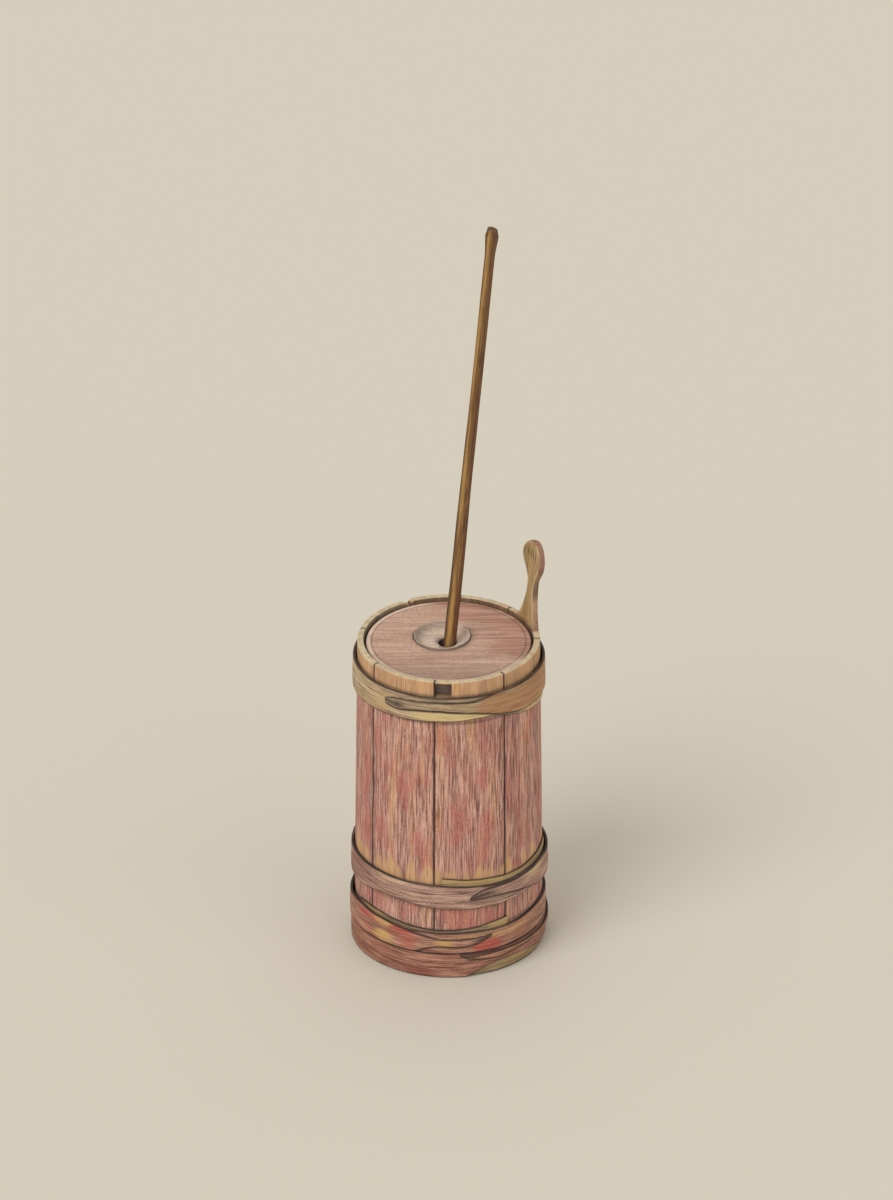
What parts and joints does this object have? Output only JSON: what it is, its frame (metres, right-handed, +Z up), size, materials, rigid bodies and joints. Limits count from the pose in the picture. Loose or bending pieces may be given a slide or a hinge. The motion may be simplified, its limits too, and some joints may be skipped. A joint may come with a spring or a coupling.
{
  "type": "staved dash butter churn",
  "caption": "Tall coopered wooden butter churn with split-wood hoops, a handle stave, a drop-in lid with a splash cup, and a plunger dasher.",
  "frame": {"origin": "on the floor under the centre of the barrel", "axes": "+Z up along the barrel, +X the way the dasher rod leans at rest, -Y the side with the hoop laps"},
  "size_m": [0.2502, 0.2518, 1.0176],
  "materials": {
    "painted_stave": "worn red milk paint on bare wood, matte",
    "ochre_hoop": "bare split wood, matte",
    "brown_hoop": "red-brown painted split wood, matte",
    "red_hoop": "red-brown painted split wood, worn to ochre, matte",
    "brick_hoop": "brick-red painted split wood, matte",
    "bare_wood": "bare wood, matte",
    "lid_wood": "stained and handled wood, matte",
    "cup_wood": "scrubbed pale wood, matte",
    "rod_wood": "hand-polished wood, satin",
    "soaked_wood": "wood darkened by cream, satin"
  },
  "bodies": {
    "barrel": {"stave_1": "painted_stave", "stave_2": "painted_stave", "stave_3": "painted_stave", "stave_4": "painted_stave", "stave_5": "painted_stave", "stave_6": "painted_stave", "stave_7": "painted_stave", "handle_stave": "painted_stave", "top_hoop": "ochre_hoop", "middle_hoop": "brown_hoop", "lower_hoop": "red_hoop", "bottom_hoop": "brick_hoop", "bottom_board_left": "bare_wood", "bottom_board_middle": "bare_wood", "bottom_board_right": "bare_wood", "bottom_dowel_1": "bare_wood", "bottom_dowel_2": "bare_wood", "bottom_dowel_3": "bare_wood", "bottom_dowel_4": "bare_wood"},
    "lid": {"lid": "lid_wood"},
    "cup": {"splash_cup": "cup_wood"},
    "dasher": {"dasher_rod": "rod_wood", "foot_arm_long": "soaked_wood", "foot_arm_cross": "soaked_wood", "tenon_wedge": "soaked_wood"}
  },
  "joints": [
    {"name": "lid_lift", "type": "slide", "parent": "barrel", "child": "lid", "axis": [0, 0, 1], "range_m": [0, 0.42]},
    {"name": "cup_lift", "type": "slide", "parent": "lid", "child": "cup", "axis": [0.0901, 0, 0.9959], "range_m": [0, 0.55]},
    {"name": "dasher_stroke", "type": "slide", "parent": "lid", "child": "dasher", "axis": [0.0901, 0, 0.9959], "range_m": [0, 0.33]}
  ]
}
